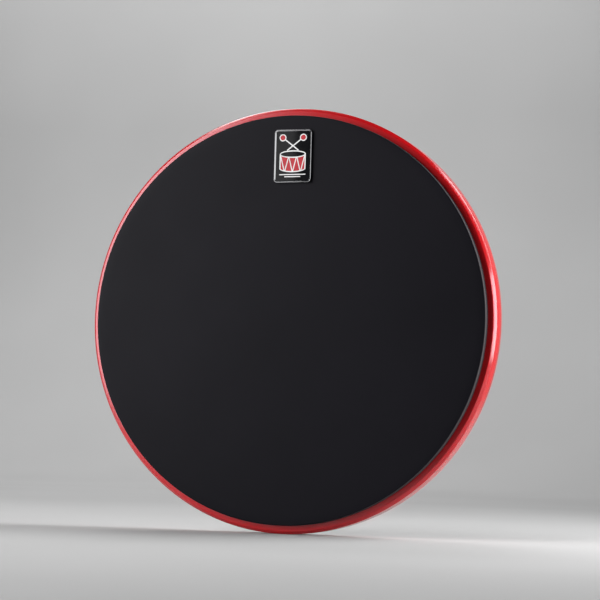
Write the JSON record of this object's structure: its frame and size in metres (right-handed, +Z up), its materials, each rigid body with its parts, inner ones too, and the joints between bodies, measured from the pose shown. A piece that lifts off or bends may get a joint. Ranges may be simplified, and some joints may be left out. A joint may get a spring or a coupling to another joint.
{
  "type": "bass drum practice pad",
  "caption": "Round bass drum practice pad: matt black rubber face on a shallow glossy red body, with a small upright badge near the top of the face.",
  "frame": {"origin": "on the ground, under the middle of the bounding box, with the pad standing on its rim", "axes": "-Y is the way the playing face looks, +X is to the right of someone facing it, +Z is up and the badge is at the top"},
  "size_m": [0.3556, 0.0326, 0.3556],
  "materials": {
    "face_rubber": "smooth matt",
    "foam_rubber": "fine-celled matt cut edge",
    "red_plastic": "semi-gloss",
    "fibreboard": "raw",
    "black_board": "black stained, matt",
    "screw_steel": "black zinc",
    "plated_steel": "satin zinc",
    "foot_rubber": "matt",
    "tape_foam": "matt",
    "badge_chrome": "polished",
    "black_enamel": "gloss",
    "white_enamel": "gloss",
    "red_enamel": "gloss"
  },
  "bodies": {
    "root": {"playing_skin": "face_rubber", "cushion_layer": "foam_rubber", "red_hoop": "red_plastic", "core_board": "fibreboard", "back_cover": "black_board", "cover_screws": "screw_steel", "stand_flange": "plated_steel", "flange_screws": "screw_steel", "rubber_feet": "foot_rubber", "foot_screws": "screw_steel", "badge_tape": "tape_foam", "badge_frame": "badge_chrome", "badge_enamel": "black_enamel", "badge_emblem_white": "white_enamel", "badge_emblem_red": "red_enamel"}
  },
  "joints": []
}
